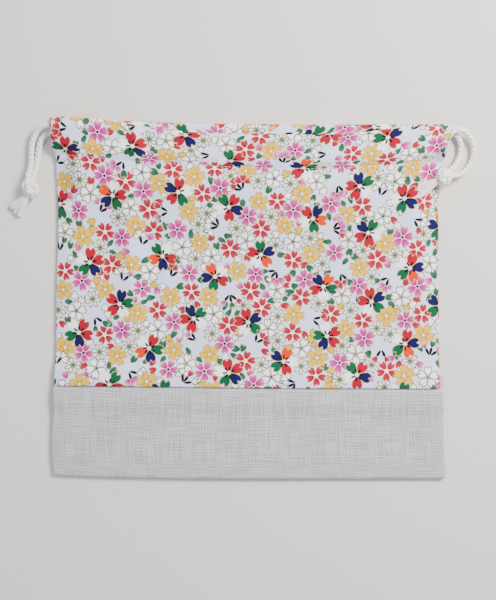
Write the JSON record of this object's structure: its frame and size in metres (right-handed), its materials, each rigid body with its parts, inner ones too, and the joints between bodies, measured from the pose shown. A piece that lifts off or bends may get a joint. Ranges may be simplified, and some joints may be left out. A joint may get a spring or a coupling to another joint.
{
  "type": "drawstring pouch",
  "caption": "Flat fabric drawstring pouch with a printed cotton upper, a plain linen base and knotted side cords, for chopsticks and cutlery.",
  "frame": {"origin": "centre of the underside of the pouch as it lies flat, cords left out", "axes": "+X towards the right side seam seen from the front, +Y towards the mouth, +Z out of the front face, up from the surface it lies on"},
  "size_m": [0.3014, 0.2335, 0.0128],
  "materials": {
    "printed_cotton": "plain woven cotton with a printed all-over blossom pattern",
    "natural_linen": "plain woven natural linen, undyed, with slubs",
    "cotton_cord": "soft twisted cotton cord in three strands, off-white"
  },
  "bodies": {
    "root": {"front_panel": "printed_cotton", "back_panel": "printed_cotton", "linen_base": "natural_linen", "left_drawcord": "cotton_cord", "right_drawcord": "cotton_cord", "left_knot": "cotton_cord", "right_knot": "cotton_cord", "left_cord_ends": "cotton_cord", "right_cord_ends": "cotton_cord"}
  },
  "joints": []
}
